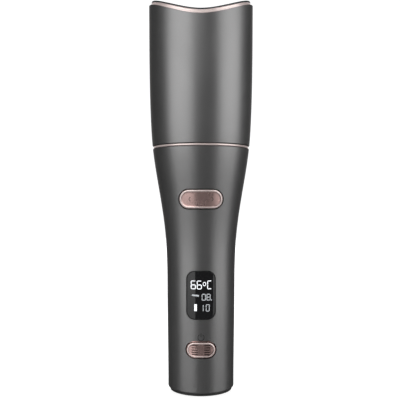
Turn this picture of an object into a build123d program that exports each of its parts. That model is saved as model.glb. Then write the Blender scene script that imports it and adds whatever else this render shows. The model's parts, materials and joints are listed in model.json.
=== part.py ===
from build123d import *
import math
import os

# Cordless automatic hair curler, in millimetres.
# It stands on its flat base at z = 0 with its long axis on Z. Its buttons face -Y.

os.makedirs("parts", exist_ok=True)

# ---------------------------------------------------------------- clearances
running_fit = 0.05        # radial, shaft in bush
seat_fit = 0.05           # between pieces that are pushed together
free_gap = 0.3            # between pieces that move past each other
button_gap = 0.62         # around a button cap in its opening
press_gap = 0.15          # from a button's stem to the switch plunger it pushes

# ---------------------------------------------------------------- driving sizes
# battery cells, side by side, which set how slim the grip can be
cell_diameter = 18.3
cell_length = 65.0
cell_side_gap = 0.1
cell_rise = 7.5
cell_clearance = 0.25

# casing
handle_length = 149.5
handle_wall = 1.8
grip_swell = 0.6
grip_height = 60.0
throat_swell = 1.75
throat_height = 95.5
flare_drop = 28.5
base_round = 1.2
seam_gap = 0.15
joint_height = 2.2
joint_taper = 2.2
shoulder_taper = 1.1
shoulder_rise = 17.0
head_length = 90.3
head_wall = 1.6
base_lean = 0.003           # sideways run per unit of height at each end of the outline
mouth_lean = 0.008

# winding chamber
chamber_radius = 27.2
liner_wall = 1.5
liner_air_gap = 2.2
floor_thickness = 3.0
floor_rise = 12.8
mouth_dip = 12.4
mouth_sharpness = 1.75
lip_height = 0.75
lip_inset = 1.6
trim_height = 2.7
trim_inset = 0.9
trim_step = 0.45

# joint ring between handle and head
ring_inset = 0.6
ring_seat_inset = 1.65
ring_height = 1.4

# heated barrel and crown
barrel_radius = 11.0
barrel_wall = 1.8
barrel_length = 54.7
crown_radius = 13.6
crown_thickness = 4.0
prong_reach = 17.5
prong_height = 5.5
prong_width = 3.4
prong_count = 4

# heater
post_radius = 3.4
post_bore = 1.6
core_bore_radius = 2.8
core_radius = 8.5
element_width = 10.0
element_thickness = 2.0
element_length = 36.0
element_offset = 5.6
sensor_radius = 1.0
sensor_length = 9.0

# drive
gear_share = 45.0            # chamber radius for each millimetre of the gears' module
pressure_angle = 25.0
rotor_teeth = 30
pinion_teeth = 16
addendum = 0.9
dedendum = 1.2
backlash = 0.06
gear_width = 5.0
sleeve_radius = 6.0
sleeve_bore = 4.0
bush_wall = 1.5
bush_flange = 9.0
clip_thickness = 0.6
groove_depth = 0.5
motor_length = 25.0
gearbox_radius = 8.0
gearbox_length = 16.0
shaft_radius = 1.5

# direction rocker
rocker_length = 25.8
rocker_width = 11.1
rocker_drop = 31.0
rocker_skin = 2.0
rocker_proud = 0.35
rocker_bevel = 0.45
rocker_pin_radius = 1.0
rocker_pin_depth = 6.0
rocker_arm = 8.0
rocker_rib_width = 4.4
rocker_rib_depth = 2.2
rocker_leg = 3.2
ear_width = 6.0
ear_thickness = 2.2
ear_depth = 2.6

# power button
power_length = 17.1
power_width = 9.0
power_height = 28.5
power_skin = 2.5
power_proud = 0.3
power_stem_radius = 1.8
power_flange = 1.6
grip_grooves = 5
groove_pitch = 1.36
groove_length = 3.8
groove_width = 0.55
groove_offset = 3.75
groove_floor = 0.05

# display
display_width = 17.8
display_tall = 29.4
display_corner = 5.0
display_height = 61.2
window_thickness = 1.0
window_ledge = 1.4
window_gap = 0.12
module_width = 14.4
module_tall = 25.6

# circuit boards and switches
board_thickness = 1.6
board_cell_gap = 0.55
board_side_gap = 0.97
board_hole_inset = 2.6
board_bottom = 9.5
board_top = 97.0
switch_size = 6.0
switch_height = 3.5
plunger_radius = 1.5
plunger_stroke = 0.5
rocker_plunger_proud = 1.0
power_plunger_proud = 0.8
switch_bore = 2.5
rocker_board_inset = 9.63
rocker_board_width = 22.0
rocker_board_tall = 22.0

# base
base_pad_inset = 3.2
base_pad_height = 1.4
base_cap_edge = 0.6
base_cap_top = 4.0
handle_bottom = 1.8
socket_width = 8.94
socket_depth = 3.26
socket_wall = 0.3
tongue_width = 6.7
tongue_thickness = 0.7
charge_post_radius = 2.2
charge_post_offset = 8.5
centring_wall = 1.2
centring_top = 6.5
centring_width = 18.0

# screws
screw_radius = 1.0
screw_head_radius = 1.9
screw_head_height = 1.3
screw_head_gap = 0.2
boss_radius = 2.6
boss_rib = 1.8
plate_boss_depth = 18.0
plate_rib_drop = 3.4
plate_thread_depth = 10.0
cap_boss_depth = 5.3
cap_rib = 2.4
board_thread_depth = 3.5

# ---------------------------------------------------------------- worked-out sizes
head_bottom = handle_length + joint_height
overall_height = head_bottom + head_length
mouth_radius = chamber_radius + liner_wall + liner_air_gap + head_wall
base_radius = cell_diameter + cell_side_gap / 2 + cell_clearance + handle_wall
grip_radius = base_radius + grip_swell
joint_radius = mouth_radius - joint_taper
floor_bottom = head_bottom + floor_rise - floor_thickness
floor_top = floor_bottom + floor_thickness
liner_radius = chamber_radius + liner_wall
base_pad_radius = base_radius - base_pad_inset
board_depth = cell_diameter / 2 + board_cell_gap + board_thickness
board_half = math.sqrt((base_radius - handle_wall) ** 2 - board_depth**2) - board_side_gap
board_width = 2 * board_half
gear_module = round(chamber_radius / gear_share, 1)
pitch_rotor = gear_module * rotor_teeth / 2
pitch_pinion = gear_module * pinion_teeth / 2
motor_offset = pitch_rotor + pitch_pinion
rocker_height = handle_length - rocker_drop
cell_bottom = board_bottom + cell_rise
cell_top = cell_bottom + cell_length
cell_offset = (cell_diameter + cell_side_gap) / 2

silhouette_points = [
    (base_radius, 0),
    (grip_radius, grip_height),
    (base_radius + throat_swell, throat_height),
    ((grip_radius + joint_radius) / 2, handle_length - flare_drop),
    (joint_radius, head_bottom),
    (mouth_radius - shoulder_taper, head_bottom + shoulder_rise),
    (mouth_radius, overall_height),
]
silhouette_ends = [(base_lean, 1), (mouth_lean, 1)]
silhouette = Edge.make_spline(
    [Vector(radius, 0, height) for radius, height in silhouette_points],
    tangents=[Vector(lean, 0, rise) for lean, rise in silhouette_ends],
)


# ---------------------------------------------------------------- helpers
def outer_radius(height):
    # radius of the casing at a height, found by halving along the silhouette
    low, high = 0.0, 1.0
    for _ in range(40):
        middle = (low + high) / 2
        if silhouette.position_at(middle).Z < height:
            low = middle
        else:
            high = middle
    return silhouette.position_at(low).X


def front_plane(y):
    # upright plane at depth y, whose extrusions grow towards the front
    return Plane.XZ.offset(-y)


def body_solid(inset, bottom, top):
    # the casing's outer form with its surface moved in by inset
    with BuildPart() as solid:
        with BuildSketch(Plane.XZ):
            with BuildLine():
                inner_points = [(radius - inset, height) for radius, height in silhouette_points]
                side = Spline(inner_points, tangents=silhouette_ends)
                Polyline(side @ 0, (0, 0), (0, overall_height), side @ 1)
            make_face()
        revolve(axis=Axis.Z)
        with BuildSketch(Plane.XY.offset(bottom)):
            Circle(2 * mouth_radius)
        extrude(amount=top - bottom, mode=Mode.INTERSECT)
    return solid.part


def body_skin(outer_inset, inner_inset, bottom, top):
    # a layer of the casing between two insets
    with BuildPart() as layer:
        add(body_solid(outer_inset, bottom, top))
        add(body_solid(inner_inset, bottom, top), mode=Mode.SUBTRACT)
    return layer.part


def front_pill(length, width, height, grow=0.0):
    # stadium-shaped prism through the front of the casing
    with BuildPart() as prism:
        with BuildSketch(Plane.XZ):
            with Locations((0, height)):
                SlotOverall(length + 2 * grow, width + 2 * grow)
        extrude(amount=2 * mouth_radius)
    return prism.part


def front_panel(width, tall, corner, height, grow=0.0):
    # rounded rectangular prism through the front of the casing
    with BuildPart() as prism:
        with BuildSketch(Plane.XZ):
            with Locations((0, height)):
                RectangleRounded(width + 2 * grow, tall + 2 * grow, corner + grow)
        extrude(amount=2 * mouth_radius)
    return prism.part


def front_peg(x, z, radius, rear_y, front_y):
    # round peg along Y
    with BuildPart() as peg:
        with BuildSketch(front_plane(rear_y)):
            with Locations((x, z)):
                Circle(radius)
        extrude(amount=rear_y - front_y)
    return peg.part


def front_block(x, z, width, tall, rear_y, front_y):
    # rectangular block along Y
    with BuildPart() as block:
        with BuildSketch(front_plane(rear_y)):
            with Locations((x, z)):
                Rectangle(width, tall)
        extrude(amount=rear_y - front_y)
    return block.part


def tube(outer, inner, bottom, top, places=((0, 0),)):
    # upright tubes, or rods where inner is 0
    with BuildPart() as piece:
        with BuildSketch(Plane.XY.offset(bottom)):
            with Locations(*places):
                Circle(outer)
                if inner > 0:
                    Circle(inner, mode=Mode.SUBTRACT)
        extrude(amount=top - bottom)
    return piece.part


def around(radius, count, start=0.0):
    # points evenly spaced on a circle
    steps = [math.radians(start + 360 * index / count) for index in range(count)]
    return [(radius * math.cos(angle), radius * math.sin(angle)) for angle in steps]


def mouth_height(x):
    return overall_height - mouth_dip + mouth_dip * (abs(x) / mouth_radius) ** mouth_sharpness


def under_mouth(drop):
    # everything below the saddle-shaped mouth line, lowered by drop
    crest_xs = [mouth_radius * share for share in (-1.1, -0.75, -0.4, 0, 0.4, 0.75, 1.1)]
    with BuildPart() as prism:
        with BuildSketch(Plane.XZ):
            with BuildLine():
                crest = Spline([(x, mouth_height(x) - drop) for x in crest_xs])
                Polyline(crest @ 0, (crest_xs[0], 0), (crest_xs[-1], 0), crest @ 1)
            make_face()
        extrude(amount=2 * mouth_radius, both=True)
    return prism.part


def mouth_band(outer, inner, drop, height):
    # ring that follows the mouth line
    with BuildPart() as band:
        add(tube(outer, inner, overall_height - 3 * mouth_dip, overall_height + mouth_dip))
        add(under_mouth(drop), mode=Mode.INTERSECT)
        add(under_mouth(drop + height), mode=Mode.SUBTRACT)
    return band.part


def screws(places, seat_z, length, points_up=False):
    # pan-head screws along Z; the head's flat side seats at seat_z
    side = -1 if points_up else 1
    with BuildPart() as group:
        with BuildSketch(Plane.XY.offset(seat_z)):
            with Locations(*places):
                Circle(screw_head_radius)
        extrude(amount=side * screw_head_height)
        with BuildSketch(Plane.XY.offset(seat_z)):
            with Locations(*places):
                Circle(screw_radius)
        extrude(amount=-side * length)
        with BuildSketch(Plane.XY.offset(seat_z + side * screw_head_height)):
            with Locations(*places):
                RegularPolygon(screw_radius, 6)
        extrude(amount=-side * screw_head_height / 2, mode=Mode.SUBTRACT)
    return group.part


def board_screws(places, seat_y, length):
    # pan-head screws along Y, their heads behind a circuit board
    with BuildPart() as group:
        with BuildSketch(front_plane(seat_y)):
            with Locations(*places):
                Circle(screw_head_radius)
        extrude(amount=-screw_head_height)
        with BuildSketch(front_plane(seat_y)):
            with Locations(*places):
                Circle(screw_radius)
        extrude(amount=length)
        with BuildSketch(front_plane(seat_y + screw_head_height)):
            with Locations(*places):
                RegularPolygon(screw_radius, 6)
        extrude(amount=screw_head_height / 2, mode=Mode.SUBTRACT)
    return group.part


def tact_switch(x, z, board_y):
    # square switch housing on a board's front face, open for its plunger
    front_y = board_y - switch_height
    with BuildPart() as housing:
        add(front_block(x, z, switch_size, switch_size, board_y, front_y))
        bore_end = front_y + switch_bore
        add(front_peg(x, z, plunger_radius + running_fit, bore_end, front_y), mode=Mode.SUBTRACT)
    return housing.part


def switch_plunger(x, z, board_y, tip_y):
    rear_y = board_y - switch_height + switch_bore - plunger_stroke - free_gap
    return front_peg(x, z, plunger_radius, rear_y, tip_y)


def gear_face(teeth, phase):
    # involute spur gear outline, with one tooth centred at the phase angle
    pitch = gear_module * teeth / 2
    base = pitch * math.cos(math.radians(pressure_angle))
    tip = pitch + addendum * gear_module
    root = pitch - dedendum * gear_module
    start = max(base, root)
    half_tooth = math.pi / (2 * teeth) - backlash / (2 * pitch)
    pressure = math.radians(pressure_angle)
    pitch_roll = math.tan(pressure) - pressure

    def half_angle(radius):
        # half of the tooth's angle at a radius on its involute flank
        turn = math.acos(min(1.0, base / radius))
        return half_tooth + pitch_roll - (math.tan(turn) - turn)

    def polar(radius, angle):
        return (radius * math.cos(angle), radius * math.sin(angle))

    flank_radii = [start + (tip - start) * step / 4 for step in range(5)]
    with BuildSketch() as outline:
        with BuildLine():
            for tooth in range(teeth):
                centre = math.radians(phase) + 2 * math.pi * tooth / teeth
                following = centre + 2 * math.pi / teeth
                rising = [polar(radius, centre - half_angle(radius)) for radius in flank_radii]
                falling = [polar(radius, centre + half_angle(radius)) for radius in flank_radii[::-1]]
                root_in = polar(root, centre - half_angle(start))
                root_out = polar(root, centre + half_angle(start))
                next_root = polar(root, following - half_angle(start))
                Spline(rising)
                ThreePointArc(rising[-1], polar(tip, centre), falling[0])
                Spline(falling)
                if start > root:
                    Line(root_in, rising[0])
                    Line(falling[-1], root_out)
                ThreePointArc(root_out, polar(root, (centre + following) / 2), next_root)
        make_face()
    return outline.sketch


def lead(points, radius):
    # insulated wire along straight runs joined by tangent arcs
    bends = []
    for before, corner, after in zip(points, points[1:], points[2:]):
        arriving = Vector(*corner) - Vector(*before)
        leaving = Vector(*after) - Vector(*corner)
        shorter = min(arriving.length, leaving.length)
        turn = math.radians(arriving.get_angle(leaving))
        bends.append(0.45 * shorter / math.tan(turn / 2))
    with BuildPart() as wire:
        with BuildLine() as route:
            FilletPolyline(*points, radius=bends)
        start = Vector(*points[0])
        along = Vector(*points[1]) - start
        with BuildSketch(Plane(origin=start, z_dir=along)):
            Circle(radius)
        sweep(path=route.wires()[0])
    return wire.part


def save(piece, name):
    piece.label = name
    export_step(piece, f"parts/{name}.step")


# ---------------------------------------------------------------- places shared by several pieces
plate_boss_places = around(outer_radius(handle_length - 20) - handle_wall - boss_radius - 0.9, 4, 45)
liner_post_radius = liner_radius - boss_radius - 2.2
liner_post_places = around(liner_post_radius, 4)
cap_boss_y = base_pad_radius - boss_radius
cap_boss_places = [(0, cap_boss_y), (0, -cap_boss_y)]
board_boss_x = board_half - board_hole_inset
board_boss_zs = (board_bottom + 2.5, board_top - 3)
board_boss_places = [(x, z) for x in (-board_boss_x, board_boss_x) for z in board_boss_zs]
rocker_board_depth = outer_radius(rocker_height) - rocker_board_inset
rocker_boss_places = [(x, rocker_height + z) for x in (-8.5, 8.5) for z in (-8.6, 8.6)]
rocker_face = -(outer_radius(rocker_height) + rocker_proud)
pivot_y = rocker_face + rocker_pin_depth
rocker_switch_tip = -rocker_board_depth - switch_height - rocker_plunger_proud
power_switch_tip = -board_depth - switch_height - power_plunger_proud
rocker_half = rocker_width / 2
pin_half = rocker_half + 3.1
ear_offset = pin_half - ear_thickness / 2

# ---------------------------------------------------------------- handle shells
plate_bosses_bottom = handle_length - plate_boss_depth
plate_rib_length = 8.0
plate_rib_middle = plate_boss_places[0][0] * math.sqrt(2) + plate_rib_length / 2
cap_rib_length = base_radius - cap_boss_y
cap_rib_middle = cap_boss_y + cap_rib_length / 2

with BuildPart() as inner_bosses:
    # screw bosses with ribs to the wall, for the gear plate on top and the cap below
    add(tube(boss_radius, 0, plate_bosses_bottom, handle_length, plate_boss_places))
    with BuildSketch(Plane.XY.offset(plate_bosses_bottom)):
        with PolarLocations(plate_rib_middle, 4, start_angle=45):
            Rectangle(plate_rib_length, boss_rib)
    extrude(amount=plate_boss_depth - plate_rib_drop)
    add(tube(boss_radius, 0, base_cap_top, base_cap_top + cap_boss_depth, cap_boss_places))
    with BuildSketch(Plane.XY.offset(base_cap_top)):
        with Locations((0, -cap_rib_middle), (0, cap_rib_middle)):
            Rectangle(cap_rib, cap_rib_length)
    extrude(amount=cap_boss_depth)
    # pegs that carry the main board and the rocker's board
    for x, z in board_boss_places:
        add(front_peg(x, z, boss_radius, -board_depth, -base_radius))
    for x, z in rocker_boss_places:
        add(front_peg(x, z, boss_radius, -rocker_board_depth, -joint_radius))
    # ears that hold the rocker's pin above and below its opening
    for z in (rocker_height - ear_offset, rocker_height + ear_offset):
        add(front_block(0, z, ear_width, ear_thickness, pivot_y + ear_depth, -joint_radius))
    add(body_solid(handle_wall / 2, handle_bottom, handle_length), mode=Mode.INTERSECT)

with BuildPart() as window_pocket:
    # recess that the window is set in
    add(body_skin(-1, window_thickness, handle_bottom, handle_length))
    add(front_panel(display_width, display_tall, display_corner, display_height), mode=Mode.INTERSECT)

window_opening = front_panel(display_width, display_tall, display_corner, display_height, -window_ledge)
pin_span = (rocker_height - pin_half, rocker_height + pin_half)
hole = screw_radius + seat_fit

with BuildPart() as handle_tube:
    add(body_solid(0, handle_bottom, handle_length))
    rim = handle_tube.edges().group_by(Axis.Z)[0]
    fillet(rim, radius=base_round)
    add(body_solid(handle_wall, handle_bottom, handle_length), mode=Mode.SUBTRACT)
    add(inner_bosses.part)
    # openings for the two buttons and a stepped pocket for the window
    add(front_pill(rocker_length, rocker_width, rocker_height, button_gap), mode=Mode.SUBTRACT)
    add(front_pill(power_length, power_width, power_height, button_gap + 0.15), mode=Mode.SUBTRACT)
    add(window_pocket.part, mode=Mode.SUBTRACT)
    add(window_opening, mode=Mode.SUBTRACT)
    # screw holes
    plate_thread_bottom = handle_length - plate_thread_depth
    add(tube(hole, 0, plate_thread_bottom, handle_length, plate_boss_places), mode=Mode.SUBTRACT)
    cap_thread_top = base_cap_top + cap_boss_depth - 1
    add(tube(hole, 0, base_cap_top, cap_thread_top, cap_boss_places), mode=Mode.SUBTRACT)
    for x, z in board_boss_places:
        wall_y = -math.sqrt((base_radius - handle_wall) ** 2 - x**2)
        add(front_peg(x, z, hole, -board_depth, wall_y), mode=Mode.SUBTRACT)
    thread_end = -rocker_board_depth - board_thread_depth
    for x, z in rocker_boss_places:
        add(front_peg(x, z, hole, -rocker_board_depth, thread_end), mode=Mode.SUBTRACT)
    add(tube(rocker_pin_radius + seat_fit / 2, 0, *pin_span, [(0, pivot_y)]), mode=Mode.SUBTRACT)

with BuildPart() as handle_front_shell:
    add(handle_tube.part)
    split(bisect_by=Plane.XZ.offset(seam_gap / 2), keep=Keep.TOP)
save(handle_front_shell.part, "handle_front_shell")

with BuildPart() as handle_rear_shell:
    add(handle_tube.part)
    split(bisect_by=Plane.XZ.offset(-seam_gap / 2), keep=Keep.BOTTOM)
save(handle_rear_shell.part, "handle_rear_shell")

# ---------------------------------------------------------------- base
charge_board_bottom = 8.2
charge_post_places = [(-charge_post_offset, 0), (charge_post_offset, 0)]
cap_seat_radius = base_radius - handle_wall - seat_fit
cap_screw_seat = base_pad_height + screw_head_height

with BuildPart() as centring_walls:
    # two curved walls that centre the handle shells
    add(tube(cap_seat_radius, cap_seat_radius - centring_wall, handle_bottom, centring_top))
    with BuildSketch(Plane.XY):
        Rectangle(2 * base_radius, centring_width)
    extrude(amount=centring_top, mode=Mode.INTERSECT)

with BuildPart() as bottom_cap:
    add(tube(base_radius - base_round, 0, base_cap_edge, handle_bottom))
    add(tube(cap_seat_radius - centring_wall, 0, handle_bottom, base_cap_top))
    add(tube(charge_post_radius, 0, base_cap_top, charge_board_bottom, charge_post_places))
    add(centring_walls.part)
    add(tube(base_pad_radius + seat_fit, 0, 0, base_pad_height), mode=Mode.SUBTRACT)
    with BuildSketch(Plane.XY):
        SlotOverall(socket_width + 2 * free_gap, socket_depth + 2 * free_gap)
    extrude(amount=base_cap_top, mode=Mode.SUBTRACT)
    add(tube(hole, 0, 0, base_cap_top, cap_boss_places), mode=Mode.SUBTRACT)
    add(
        tube(screw_head_radius + screw_head_gap, 0, 0, cap_screw_seat, cap_boss_places),
        mode=Mode.SUBTRACT,
    )
    charge_thread_bottom = charge_board_bottom - board_thread_depth
    add(
        tube(hole, 0, charge_thread_bottom, charge_board_bottom, charge_post_places),
        mode=Mode.SUBTRACT,
    )
save(bottom_cap.part, "bottom_cap")

with BuildPart() as base_pad:
    add(tube(base_pad_radius, 0, 0, base_pad_height))
    fillet(base_pad.edges().group_by(Axis.Z)[0], radius=0.3)
    with BuildSketch(Plane.XY):
        SlotOverall(socket_width + 2.5, socket_depth + 2.5)
    extrude(amount=base_pad_height, mode=Mode.SUBTRACT)
save(base_pad.part, "base_pad")

cap_screws = screws(cap_boss_places, cap_screw_seat, cap_boss_depth - 0.5, points_up=True)
save(cap_screws, "bottom_cap_screws")

with BuildPart() as charge_board:
    with BuildSketch(Plane.XY.offset(charge_board_bottom)):
        RectangleRounded(22, 11, 1)
        with Locations(*charge_post_places):
            Circle(hole, mode=Mode.SUBTRACT)
    extrude(amount=board_thickness)
save(charge_board.part, "charge_board")

charge_screws = screws(charge_post_places, charge_board_bottom + board_thickness, 4.5)
save(charge_screws, "charge_board_screws")

with BuildPart() as charge_socket:
    # upright receptacle with its mouth in the base and a tongue inside
    socket_inner = (socket_width - 2 * socket_wall, socket_depth - 2 * socket_wall)
    with BuildSketch(Plane.XY.offset(base_cap_edge)):
        SlotOverall(socket_width, socket_depth)
        SlotOverall(*socket_inner, mode=Mode.SUBTRACT)
    extrude(amount=charge_board_bottom - base_cap_edge)
    with BuildSketch(Plane.XY.offset(charge_board_bottom)):
        SlotOverall(socket_width - socket_wall, socket_depth - socket_wall)
    extrude(amount=-4 * socket_wall)
    with BuildSketch(Plane.XY.offset(charge_board_bottom)):
        Rectangle(tongue_width, tongue_thickness)
    extrude(amount=-(charge_board_bottom - base_cap_edge - 3 * socket_wall))
save(charge_socket.part, "charge_socket")

# ---------------------------------------------------------------- battery
for name, x in (("left_cell", -cell_offset), ("right_cell", cell_offset)):
    with BuildPart() as cell:
        add(tube(cell_diameter / 2, 0, cell_bottom, cell_top - 0.8, [(x, 0)]))
        fillet(cell.edges().filter_by(GeomType.CIRCLE), radius=0.6)
        add(tube(3.2, 0, cell_top - 0.8, cell_top, [(x, 0)]))
    save(cell.part, name)

cradle_plate = 2.2
link_thickness = 0.3
cradle_length = 2 * cell_offset + cell_diameter

with BuildPart() as battery_cradle:
    with BuildSketch(Plane.XY.offset(cell_bottom - cradle_plate)):
        SlotOverall(cradle_length, cell_diameter)
    extrude(amount=cradle_plate)
    with BuildSketch(Plane.XY.offset(cell_top + link_thickness)):
        SlotOverall(cradle_length, cell_diameter)
    extrude(amount=cradle_plate)
    # spine in the valley behind the cells
    spine_front = 0.38 * cell_diameter
    spine_rear = cell_diameter / 2
    with BuildSketch(Plane.XY.offset(cell_bottom)):
        with Locations((0, (spine_front + spine_rear) / 2)):
            Rectangle(4.6, spine_rear - spine_front)
    extrude(amount=cell_length + link_thickness)
    lead_holes = tube(0.8, 0, cell_top, cell_top + 5, [(-6, 0), (6, 0)])
    add(lead_holes, mode=Mode.SUBTRACT)
save(battery_cradle.part, "battery_cradle")

with BuildPart() as cell_link:
    with BuildSketch(Plane.XY.offset(cell_top)):
        Rectangle(2 * cell_offset + 6, 5)
    extrude(amount=link_thickness)
save(cell_link.part, "cell_link")

# ---------------------------------------------------------------- main board and display
board_middle = (board_bottom + board_top) / 2
board_rear = -board_depth + board_thickness

with BuildPart() as main_board:
    add(front_block(0, board_middle, board_width, board_top - board_bottom, board_rear, -board_depth))
    for x, z in board_boss_places:
        add(front_peg(x, z, hole, board_rear, -board_depth), mode=Mode.SUBTRACT)
save(main_board.part, "main_board")

save(board_screws(board_boss_places, board_rear, board_thickness + 2.6), "main_board_screws")

with BuildPart() as board_components:
    # controller, driver and two capacitors on the board's front
    chip_x = 0.54 * board_half
    capacitor_x = 0.47 * board_half
    add(front_block(-chip_x, 40, 7, 7, -board_depth, -board_depth - 1.2))
    add(front_block(chip_x, 40, 5, 6, -board_depth, -board_depth - 1.6))
    add(front_peg(-capacitor_x, 17.5, 2.5, -board_depth, -board_depth - 3.4))
    add(front_peg(capacitor_x, 17.5, 2.5, -board_depth, -board_depth - 3.4))
save(board_components.part, "board_components")

with BuildPart() as display_module:
    module_front = -math.sqrt((grip_radius - handle_wall) ** 2 - (module_width / 2) ** 2) + free_gap
    add(front_block(0, display_height, module_width, module_tall, -board_depth, module_front))
save(display_module.part, "display_module")

with BuildPart() as display_window:
    add(body_skin(0, window_thickness, handle_bottom, handle_length))
    add(
        front_panel(display_width, display_tall, display_corner, display_height, -window_gap),
        mode=Mode.INTERSECT,
    )
save(display_window.part, "display_window")

with BuildPart() as buzzer:
    buzzer_z = board_top - 9
    buzzer_front = -board_depth - 4
    add(front_peg(0, buzzer_z, 4.5, -board_depth, buzzer_front))
    add(front_peg(0, buzzer_z, 1.0, buzzer_front + 1, buzzer_front), mode=Mode.SUBTRACT)
save(buzzer.part, "buzzer")

# ---------------------------------------------------------------- power button
save(tact_switch(0, power_height, -board_depth), "power_switch")
save(switch_plunger(0, power_height, -board_depth, power_switch_tip), "power_switch_plunger")

power_flange_front = handle_wall + free_gap
power_skin_bottom = power_height - power_width
power_skin_top = power_height + power_width

with BuildPart() as power_collar:
    # collar behind the casing that keeps the button in
    add(body_skin(power_flange_front, power_flange_front + 1, power_skin_bottom, power_skin_top))
    add(front_pill(power_length, power_width, power_height, power_flange), mode=Mode.INTERSECT)

with BuildPart() as finger_grooves:
    # two groups of grooves, cut just into the button's face
    with BuildSketch(Plane.XZ):
        for row in range(grip_grooves):
            groove_z = power_height + (row - (grip_grooves - 1) / 2) * groove_pitch
            with Locations((-groove_offset, groove_z), (groove_offset, groove_z)):
                SlotOverall(groove_length, groove_width)
    extrude(amount=2 * base_radius)
    add(body_solid(groove_floor, power_skin_bottom, power_skin_top), mode=Mode.SUBTRACT)

with BuildPart() as power_button:
    add(body_skin(-power_proud, power_skin, power_skin_bottom, power_skin_top))
    add(front_pill(power_length, power_width, power_height), mode=Mode.INTERSECT)
    add(power_collar.part)
    stem_tip = power_switch_tip - press_gap
    add(front_peg(0, power_height, power_stem_radius, stem_tip, -base_radius + 1))
    add(finger_grooves.part, mode=Mode.SUBTRACT)
save(power_button.part, "power_button")

# ---------------------------------------------------------------- direction rocker
rocker_bottom = rocker_height - rocker_width
rocker_top = rocker_height + rocker_width

with BuildPart() as rocker_field:
    # raised inner field of the cap
    add(body_skin(-rocker_proud, 1, rocker_bottom, rocker_top))
    add(front_pill(rocker_length, rocker_width, rocker_height, -rocker_bevel), mode=Mode.INTERSECT)

with BuildPart() as rocker_button:
    add(body_skin(0, rocker_skin, rocker_bottom, rocker_top))
    add(front_pill(rocker_length, rocker_width, rocker_height), mode=Mode.INTERSECT)
    add(rocker_field.part)
    # rib that turns on the pin
    rib_tall = rocker_width - 1.6
    rib_rear = pivot_y + rocker_rib_depth
    add(front_block(0, rocker_height, rocker_rib_width, rib_tall, rib_rear, rocker_face + 1.2))
    # legs over the two switches
    leg_tip = rocker_switch_tip - press_gap
    leg_surface = outer_radius(rocker_height - rocker_leg / 2)
    leg_front = -math.sqrt(leg_surface**2 - rocker_arm**2) + 1.2
    for x in (-rocker_arm, rocker_arm):
        add(front_block(x, rocker_height, rocker_leg, rocker_leg, leg_tip, leg_front))
    pin_bore = rocker_pin_radius + running_fit
    add(tube(pin_bore, 0, rocker_bottom, rocker_top, [(0, pivot_y)]), mode=Mode.SUBTRACT)
save(rocker_button.part, "rocker_button")

save(tube(rocker_pin_radius, 0, *pin_span, [(0, pivot_y)]), "rocker_pin")

rocker_board_rear = -rocker_board_depth + board_thickness
rocker_board_sides = (rocker_board_width, rocker_board_tall)
with BuildPart() as rocker_board:
    add(front_block(0, rocker_height, *rocker_board_sides, rocker_board_rear, -rocker_board_depth))
    for x, z in rocker_boss_places:
        add(front_peg(x, z, hole, rocker_board_rear, -rocker_board_depth), mode=Mode.SUBTRACT)
save(rocker_board.part, "rocker_board")

save(board_screws(rocker_boss_places, rocker_board_rear, board_thickness + 3.2), "rocker_board_screws")

for name, x in (("left", -rocker_arm), ("right", rocker_arm)):
    save(tact_switch(x, rocker_height, -rocker_board_depth), f"{name}_switch")
    plunger = switch_plunger(x, rocker_height, -rocker_board_depth, rocker_switch_tip)
    save(plunger, f"{name}_switch_plunger")

# ---------------------------------------------------------------- gear plate, motor and gearbox
plate_radius = joint_radius - ring_seat_inset
spigot_depth = 3.0
spigot_wall = 1.8
spigot_radius = outer_radius(handle_length - spigot_depth) - handle_wall - seat_fit
shaft_boss = shaft_radius + 1.5
motor_screw_places = [(-5.2, motor_offset), (5.2, motor_offset)]

with BuildPart() as gear_plate:
    add(tube(plate_radius, 0, handle_length, head_bottom))
    add(tube(spigot_radius, spigot_radius - spigot_wall, handle_length - spigot_depth, handle_length))
    add(tube(boss_radius, 0, head_bottom, floor_bottom, liner_post_places))
    add(tube(post_bore, 0, handle_length, head_bottom), mode=Mode.SUBTRACT)
    add(
        tube(shaft_boss + seat_fit, 0, handle_length, head_bottom, [(0, motor_offset)]),
        mode=Mode.SUBTRACT,
    )
    plate_holes = plate_boss_places + motor_screw_places
    add(tube(hole, 0, handle_length, head_bottom, plate_holes), mode=Mode.SUBTRACT)
    add(tube(hole, 0, floor_bottom - 8, floor_bottom, liner_post_places), mode=Mode.SUBTRACT)
save(gear_plate.part, "gear_plate")

save(screws(plate_boss_places, head_bottom, plate_thread_depth - 1), "gear_plate_screws")
save(screws(motor_screw_places, head_bottom, joint_height + 4), "motor_screws")

gearbox_bottom = handle_length - gearbox_length
gearbox_bore_bottom = handle_length - 4
with BuildPart() as gearbox:
    add(tube(gearbox_radius, 0, gearbox_bottom, handle_length, [(0, motor_offset)]))
    chamfer(gearbox.edges().filter_by(GeomType.CIRCLE), length=0.4)
    add(tube(shaft_boss, 0, handle_length - 1, head_bottom + 0.6, [(0, motor_offset)]))
    bore = shaft_radius + running_fit
    add(tube(bore, 0, gearbox_bore_bottom, head_bottom + 0.6, [(0, motor_offset)]), mode=Mode.SUBTRACT)
    add(tube(hole, 0, handle_length - 5, handle_length, motor_screw_places), mode=Mode.SUBTRACT)
save(gearbox.part, "gearbox")

motor_bottom = gearbox_bottom - motor_length
motor_radius = outer_radius(motor_bottom) - handle_wall - motor_offset - free_gap
with BuildPart() as motor:
    add(tube(motor_radius, 0, motor_bottom, gearbox_bottom, [(0, motor_offset)]))
    fillet(motor.edges().filter_by(GeomType.CIRCLE), radius=0.8)
    add(tube(2.5, 0, motor_bottom - 1.5, motor_bottom + 1, [(0, motor_offset)]))
save(motor.part, "motor")

# ---------------------------------------------------------------- gears
gear_bottom = head_bottom + 3.3
gear_top = gear_bottom + gear_width

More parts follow.
